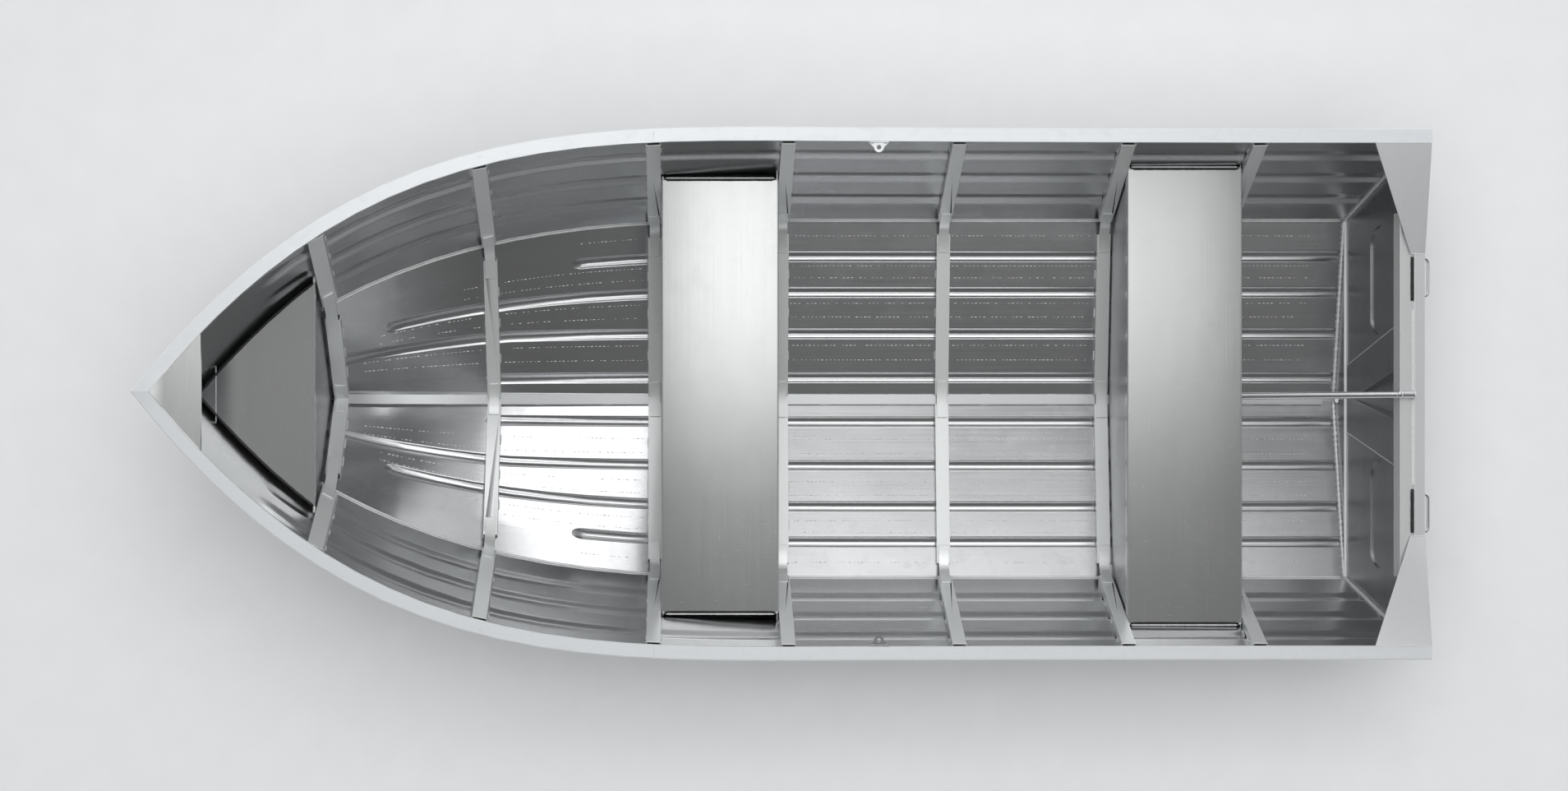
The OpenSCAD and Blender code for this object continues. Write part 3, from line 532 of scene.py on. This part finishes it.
# Frames: beads where their lengths join, stitches along their feet and a seam round each top
SEAT_LIFT = PLATE_T + FRAME_H
for number, x in enumerate(FRAME_XS, 1):
    paths, tops = [], []
    joint_xs = span(x - SLEEVE_HALF, x + SLEEVE_HALF, 4)
    knee_in = chine_y(x) - KNEE_LEN * bottom_dir(x)[0]
    top_s = np.linalg.norm(sheer_pt(x) - chine_pt(x)) - FRAME_DROP
    for sign in SIGNS.values():
        for y in (KEEL_SLEEVE, knee_in):
            paths.append([bottom_at(u, y, SEAT_LIFT + 0.002, sign) for u in joint_xs])
        paths.append([side_at(u, KNEE_LEN, SEAT_LIFT + 0.002, sign) for u in joint_xs])
        for end in (-1, 1):
            u = x + end * (FRAME_W / 2 + 0.001)
            for i in range(3):
                y = (strake_y(i, x) + strake_y(i + 1, x)) / 2
                if y + 0.05 < chine_y(x):
                    paths.append([bottom_at(u, y + t, PLATE_T + 0.001, sign) for t in span(-0.014, 0.014, 4)])
            for share in (0.38, 0.62, 0.86):
                paths.append([side_at(u, top_s * share + t, PLATE_T + 0.001, sign) for t in span(-0.012, 0.012, 4)])
        tops.append([side_at(x + a * FRAME_W / 2, top_s, PLATE_T + b * FRAME_H, sign)
                     for a, b in ((-1, 0.1), (-1, 1), (1, 1), (1, 0.1), (-1, 0.1))])
    beads(f"frame_{number}_welds", paths, 0.0024, 0.0026, ripple=0.35)
    for side, path in zip(SIGNS, tops):
        sign = SIGNS[side]
        rise = (side_at(x, top_s, 0, sign) - side_at(x, top_s - 0.1, 0, sign)).normalized()
        beads(f"frame_{number}_top_{side}", [path], 0.0022, 0.0026, ripple=0.3, closed=True, facing=rise)

# Keelson stitches, two to a bay on either side
stitches = []
for a, b in zip([0.06] + FRAME_XS[::-1], FRAME_XS[::-1]):
    for share in (0.30, 0.72):
        x = a + (b - a) * share
        for sign in SIGNS.values():
            stitches.append([bottom_at(x + t, KEELSON_HALF + 0.001, PLATE_T + 0.001, sign)
                             for t in span(-0.016, 0.016, 4)])
beads("keelson_welds", stitches, 0.0020, 0.0026, ripple=0.3)

# Rows of short marks between the strakes, where stiffeners are stitched from below
MARK_PITCH, MARK_R = 0.0125, 0.0015
for side, sign in SIGNS.items():
    marks = []
    for i, nose in enumerate((2.95, 2.90, 2.65, 2.30)):
        for share in (0.27, 0.60) if i < 3 else (0.43,):
            line = []
            for x in span(0.10, nose, 200):
                outer = strake_y(i + 1, x) if i < 3 else chine_y(x)
                line.append(bottom_at(x, outer + (strake_y(i, x) - outer) * share, PLATE_T, sign))
            points = resample(line, MARK_PITCH)
            faint = rng.uniform(0.05, 0.35)
            for p, q in zip(points, points[1:]):
                clear = min(abs(p.x + ORIGIN_X - x) for x in FRAME_XS) > FRAME_W / 2 + MARK_PITCH
                if rng.random() > faint and clear:
                    marks.append([p, p.lerp(q, rng.uniform(0.35, 0.75))])
    beads(f"stitch_marks_{side}", marks, MARK_R, 0.005, MARK, sides=4, ripple=0.0)

# Stem: seams of the breasthook along both gunwales and the mitre between them
hook_xs = span(HOOK_X + 0.004, HULL_LEN - 0.052, 24)
for side, sign in SIGNS.items():
    beads(f"breasthook_seam_{side}",
          [[gunwale_at(x, HOOK_EDGE, GUNWALE_TOP - 0.0002, sign) for x in hook_xs]], 0.0022, 0.0026, ripple=0.3)
    outer = [gunwale_at(x, HOOK_EDGE, GUNWALE_TOP, sign) for x in span(-0.006, GUSSET_X - 0.004, 12)]
    inner = [on_transom(x, sign * (CUTOUT_HALF + 0.0005), CUTOUT_V + CAP_T) for x in span(BOARD_BACK, 0.019, 8)]
    beads(f"gusset_seam_{side}", [outer, inner], 0.0018, 0.0026, ripple=0.3)
    beads(f"gunwale_tacks_{side}",
          [loop(gunwale_at(x, -0.008, GUNWALE_TOP, sign), Vector((0.003, 0, 0)), Vector((0, 0.003, 0)), 10)
           for x in FRAME_XS[1:4]], 0.0008, 0.0012, closed=True)
stem_run = (sheer_y(HULL_LEN - 0.003) - sheer_y(HULL_LEN)) / 0.003
stem_n = stem_run / math.hypot(stem_run, 1)
mitre = [Vector((HULL_LEN + a / stem_n - ORIGIN_X, 0, 0.760 + GUNWALE_TOP - 0.0014 - WATERLINE))
         for a in (HOOK_EDGE, 0.002)]
beads("stem_mitre", [mitre], 0.0014, 0.003, ripple=0.1)

# Benches: black strips along their ends that paint the shade in the gaps there, lumpy closing seams and corner tacks
# at their ends
for name in ("fore_bench", "aft_bench"):
    low, high = (Vector(corner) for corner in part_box(name))
    dark, seams, tacks = [], [], []
    for y, out in ((low.y, -1), (high.y, 1)):
        ends = [Vector((x, y, high.z - 0.003)) for x in (low.x + 0.012, high.x - 0.012)]
        dark.append(ends)
        seams.append([p + Vector((0, out * 0.007, -0.003)) for p in ends])
        for x, step in ((low.x, 1), (high.x, -1)):
            tacks.append([Vector((x + step * 0.001, y + out * 0.001, high.z - 0.006)),
                          Vector((x + step * 0.010, y + out * 0.004, high.z - 0.003))])
    # Black strips along both bench ends: painted shade of the dark gap beside the hull
    beads(f"{name}_end_shade", dark, 0.0042, 0.006, RUBBER_AND_SHADE, "fittings", ripple=0.06)
    beads(f"{name}_end_seams", seams, 0.0036, 0.0042, ripple=0.35)
    beads(f"{name}_tacks", tacks, 0.0046, 0.003, ripple=0.4)


# Bow seat: black strips of painted shade in the gap along both sides, a tack at the nose and a faint crease shown as a
# thin bright bead, partly a painted highlight
def inside_y(x, z, n):
    """Half breadth of the side plate's face at height z above the keel, moved inward by n."""
    d, q = side_dir(x), chine_pt(x) + miter(x, n)
    return q[0] + d[0] * (z - q[1]) / d[1]


seat_top = BOW_SEAT_Z - WATERLINE
BOW_GAP = 0.024
for side, sign in SIGNS.items():
    rim = [Vector((x - ORIGIN_X, sign * max(0.006, inside_y(x, BOW_SEAT_Z, PLATE_T) - BOW_GAP), seat_top - 0.002))
           for x in span(BOW_SEAT_X + 0.004, BOW_SEAT_NOSE, 30)]
    # Black strips in the gap along the bow seat's sides: painted shade of the dark space below
    beads(f"bow_seat_side_shade_{side}", [rim], 0.0048, 0.006, RUBBER_AND_SHADE, "fittings", ripple=0.04)
beads("bow_seat_tacks",
      [[Vector((BOW_SEAT_NOSE + 0.003 - ORIGIN_X, y, seat_top - 0.002)) for y in (-0.008, 0.008)]]
      + [[Vector((BOW_SEAT_X + 0.002 - ORIGIN_X, sign * (inside_y(BOW_SEAT_X, BOW_SEAT_Z, PLATE_T) - t), seat_top - 0.003))
          for t in (0.026, 0.006)] for sign in SIGNS.values()], 0.0055, 0.004, ripple=0.4)
CREASE_X = 3.324 - ORIGIN_X
# A thin raised line in the brighter weld finish standing in for the crease: partly real crease, partly painted
# highlight
beads("bow_seat_crease_highlight", [[Vector((CREASE_X, y, seat_top)) for y in (-0.085, 0.085)]], 0.0012, 0.01, ripple=0.0)

# Transom: the lumpy seam under the board's cap, dark pads beside it, and smaller seams
cap_x = CAP_FRONT + 0.001
beads("motor_board_weld", [[on_transom(cap_x, y, CUTOUT_V + 0.001) for y in span(-0.245, 0.262, 40)]],
      0.0048, 0.0042, ripple=0.35)
beads("motor_board_pads", [[on_transom(cap_x + 0.003, sign * y, CUTOUT_V + 0.001) for y in (0.270, 0.396)]
                           for sign in SIGNS.values()], 0.0045, 0.01, RUBBER_AND_SHADE, "fittings", ripple=0.0, end=0.8)
doubler_top, doubler_low = CUTOUT_V - BEAM_H - 0.008, 0.086 / math.cos(RAKE)
beads("doubler_seams", [[on_transom(0.0033, sign * CUTOUT_HALF * 0.25, doubler_low),
                         on_transom(0.0033, sign * CUTOUT_HALF * 0.56, doubler_top)] for sign in SIGNS.values()],
      0.0018, 0.003, ripple=0.25)
FORE, ACROSS = Vector((math.cos(RAKE), 0, math.sin(RAKE))), Vector((0, 1, 0))
SLOPE = Vector((-math.sin(RAKE), 0, math.cos(RAKE)))
beads("stay_weld", [loop(on_transom(CAP_FRONT + 0.004, 0, CUTOUT_V + 0.0103), ACROSS * 0.0112, SLOPE * 0.0112)],
      0.0024, 0.0026, ripple=0.3, closed=True, facing=FORE)
HANDLE_Y, HANDLE_HALF, HANDLE_V = CUTOUT_HALF - 0.064, 0.054, CUTOUT_V - 0.0297
beads("handle_welds", [loop(on_transom(BOARD_BACK - 0.0006, sign * (HANDLE_Y + end * HANDLE_HALF), HANDLE_V),
                            ACROSS * 0.0062, SLOPE * 0.0062) for sign in SIGNS.values() for end in (-1, 1)],
      0.0018, 0.002, ripple=0.3, closed=True, facing=FORE)

# Rowlocks: two rivets through each base
ROWLOCK_X, ROWLOCK_HALF = 1.432, 0.020
for side, sign in SIGNS.items():
    low, high = (Vector(corner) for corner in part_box(f"rowlock_socket_{side}"))
    wall = high.y if sign > 0 else low.y
    heads = [loop(Vector((ROWLOCK_X - ORIGIN_X + t, wall - sign * 0.0035, high.z - 0.006)),
                  Vector((0.0022, 0, 0)), Vector((0, 0, 0.0022)), 10) for t in (-ROWLOCK_HALF, ROWLOCK_HALF)]
    beads(f"rowlock_rivets_{side}", heads, 0.0022, 0.0014, FITTING, "fittings", closed=True,
          facing=Vector((0, 1, 0)), ripple=0.0)


# Floor
def hull_half_breadth(x):
    """Half breadth of the outside of the hull at the waterline."""
    hit = 0.0
    for tree in skins:
        found = tree.ray_cast(Vector((x, 2.0, 0.0)), Vector((0, -1, 0)))
        if found[0] is not None:
            hit = max(hit, found[0].y)
    return hit


def bvh(obj):
    return BVHTree.FromPolygons([v.co for v in obj.data.vertices], [p.vertices[:] for p in obj.data.polygons])


skins = [bvh(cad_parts[n]) for n in ("bottom_plate_port", "side_plate_port", "chine_rail_port", "keel_bar")]
FLOOR_REACH = 30.0
low, high = cad_bounds
outline = []
for x in span(low[0] + 0.0005, high[0] - 0.0005, 260):
    y = hull_half_breadth(x)
    if y > 0:
        outline.append((x, y + 0.001))
rim = [(x, y, 0.0) for x, y in outline] + [(x, -y, 0.0) for x, y in reversed(outline)]
centre = (rim[0][0] + outline[-1][0]) / 2
verts = list(rim)
for x, y, z in rim:
    reach = FLOOR_REACH / max(abs(x - centre), abs(y))
    verts.append((centre + (x - centre) * reach, y * reach, 0.0))
count = len(rim)
faces = [(i, i + count, (i + 1) % count + count, (i + 1) % count) for i in range(count)]
mesh = bpy.data.meshes.new("floor")
mesh.from_pydata(verts, [], faces)
floor = bpy.data.objects.new("floor", mesh)
scene.collection.objects.link(floor)
mesh.materials.append(matte("pale_floor", (0.80, 0.81, 0.82), 0.7, 60.0, 0.0002))

# Light and camera
world = bpy.data.worlds.new("studio")
scene.world = world
world.use_nodes = True
tree = world.node_tree
sky = add(tree, "ShaderNodeSeparateXYZ", Vector=add(tree, "ShaderNodeTexCoord").outputs["Generated"])
height = sky.outputs["Z"]
bright_side = ramp(tree, height, [(0.0, 0.95), (0.20, 0.85), (0.50, 0.65), (0.85, 0.20), (1.0, 0.15)])
dark_side = ramp(tree, height, [(0.0, 0.95), (0.10, 0.80), (0.26, 0.20), (0.60, 0.11), (1.0, 0.15)])
turn = add(tree, "ShaderNodeMath", {"operation": "MULTIPLY_ADD"}, _0=sky.outputs["Y"], _1=0.5, _2=0.5)
toward_port = ramp(tree, turn.outputs[0], [(0.42, 0.0), (0.60, 1.0)])
level = add(tree, "ShaderNodeMix", {"data_type": "RGBA"}, Factor=toward_port, _6=bright_side, _7=dark_side)
tree.links.new(level.outputs[2], tree.nodes["Background"].inputs["Color"])
tree.nodes["Background"].inputs["Strength"].default_value = 1.0


def softbox(name, at, size, radiance, mirrored=True):
    """A soft panel that faces straight down; one that isn't mirrored lights without glare."""
    light = bpy.data.lights.new(name, "AREA")
    light.shape = "RECTANGLE"
    light.size, light.size_y = size
    light.energy = radiance * math.pi * size[0] * size[1]
    obj = bpy.data.objects.new(name, light)
    obj.location = at
    obj.visible_glossy = mirrored
    scene.collection.objects.link(obj)


softbox("bench_panel", (-1.10, -1.00, 8.5), (4.6, 1.40), 1.05)
softbox("fore_panel", (-0.05, -1.35, 8.48), (2.10, 2.50), 0.65)
softbox("side_panel", (-0.90, -6.0, 8.5), (5.0, 5.6), 1.6)
softbox("bow_panel", (3.0, -0.2, 8.5), (1.6, 2.2), 0.14)
softbox("fill", (0.0, 0.0, 11.0), (15.0, 15.0), 1.5, False)

camera_data = bpy.data.cameras.new("camera")
camera = bpy.data.objects.new("camera", camera_data)
scene.collection.objects.link(camera)
scene.camera = camera
CAMERA_DISTANCE = 7.3
SCALE = 0.002327
camera.location = (0.450, 0.233, 0.500 + CAMERA_DISTANCE)
camera.rotation_euler = (0, 0, math.pi)
camera_data.sensor_width = 36.0
camera_data.lens = 36.0 * CAMERA_DISTANCE / (1908 * SCALE)
camera_data.shift_x = (954 - 826) / 1908
camera_data.shift_y = (579 - 481) / 1908
camera_data.clip_end = 100.0
scene.view_settings.view_transform = "Standard"
